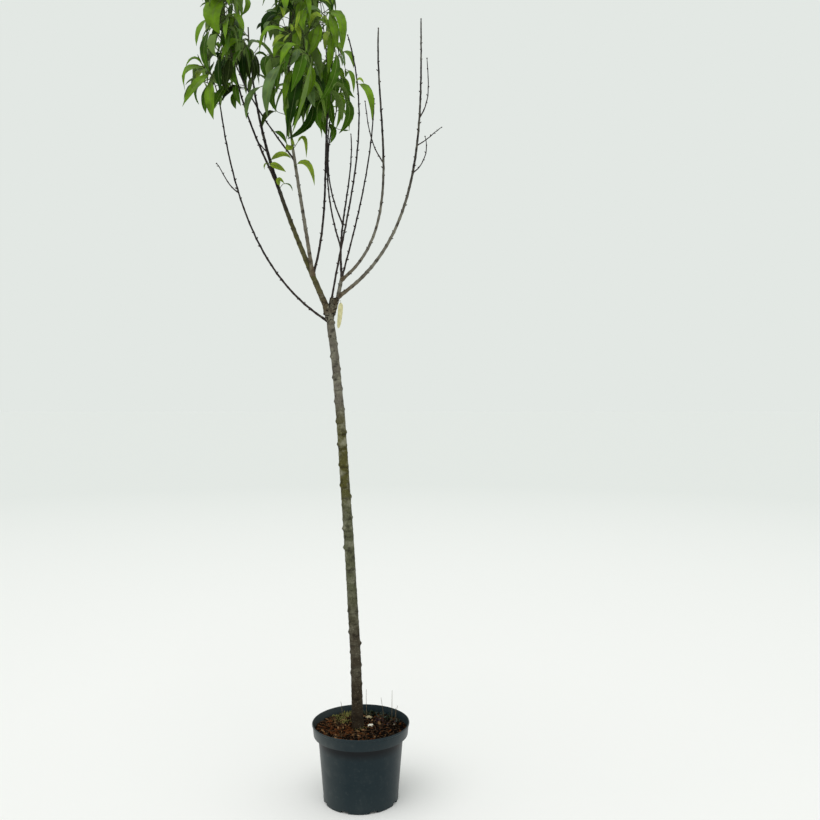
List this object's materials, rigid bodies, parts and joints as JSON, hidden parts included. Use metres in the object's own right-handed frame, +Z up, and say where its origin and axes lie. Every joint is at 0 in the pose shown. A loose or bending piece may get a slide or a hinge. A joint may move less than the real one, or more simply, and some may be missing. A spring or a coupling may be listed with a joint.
{
  "type": "potted nectarine tree",
  "caption": "Young standard nectarine tree in a round nursery pot: a tall bare trunk, a swollen fork, upright whippy boughs, and drooping lance-shaped leaves on the left half of the crown.",
  "frame": {"origin": "centre of the pot's flat underside", "axes": "+Z up, +X to the viewer's right and +Y away from the viewer as one looks at the front"},
  "size_m": [0.6355, 0.5206, 2.1188],
  "materials": {
    "pot": "moulded, dull, dusty",
    "compost": "loose bark chips and fibre",
    "trunk_bark": "grey-brown bark with pale crosswise pores",
    "olive_bark": "smooth olive bark",
    "grey_bark": "smooth grey bark",
    "shoot_bark": "smooth purple-brown bark, slightly glossy",
    "leaves": "living leaf, satin",
    "young_leaves": "young living leaf, satin"
  },
  "bodies": {
    "root": {"pot": "pot", "compost": "compost", "trunk": "trunk_bark", "left_bough": "olive_bark", "grey_bough": "grey_bark", "right_spur": "grey_bark", "right_outer_bough": "grey_bark", "right_inner_bough": "grey_bark", "left_front_bough": "shoot_bark", "cross_bough": "shoot_bark", "centre_bough": "shoot_bark", "low_left_bough": "shoot_bark", "front_bough": "shoot_bark", "right_thin_bough": "shoot_bark", "rear_bough": "shoot_bark", "rear_low_bough": "shoot_bark", "rear_high_bough": "shoot_bark", "low_left_twig": "shoot_bark", "left_spur_twig": "shoot_bark", "outer_low_twig": "shoot_bark", "outer_rear_twig": "shoot_bark", "outer_high_twig": "shoot_bark", "inner_twig": "shoot_bark", "leaves_low_left": "leaves", "leaves_left_front": "leaves", "leaves_left_cross": "leaves", "leaves_left_rear": "leaves", "leaves_grey": "leaves", "leaves_centre": "leaves", "leaves_rear_low": "leaves", "leaves_rear_high": "leaves", "tuft_left_bough": "young_leaves", "tuft_left_front": "young_leaves", "tuft_cross": "young_leaves", "tuft_grey_side": "young_leaves", "tuft_grey_top": "young_leaves", "tuft_front": "young_leaves"}
  },
  "joints": []
}
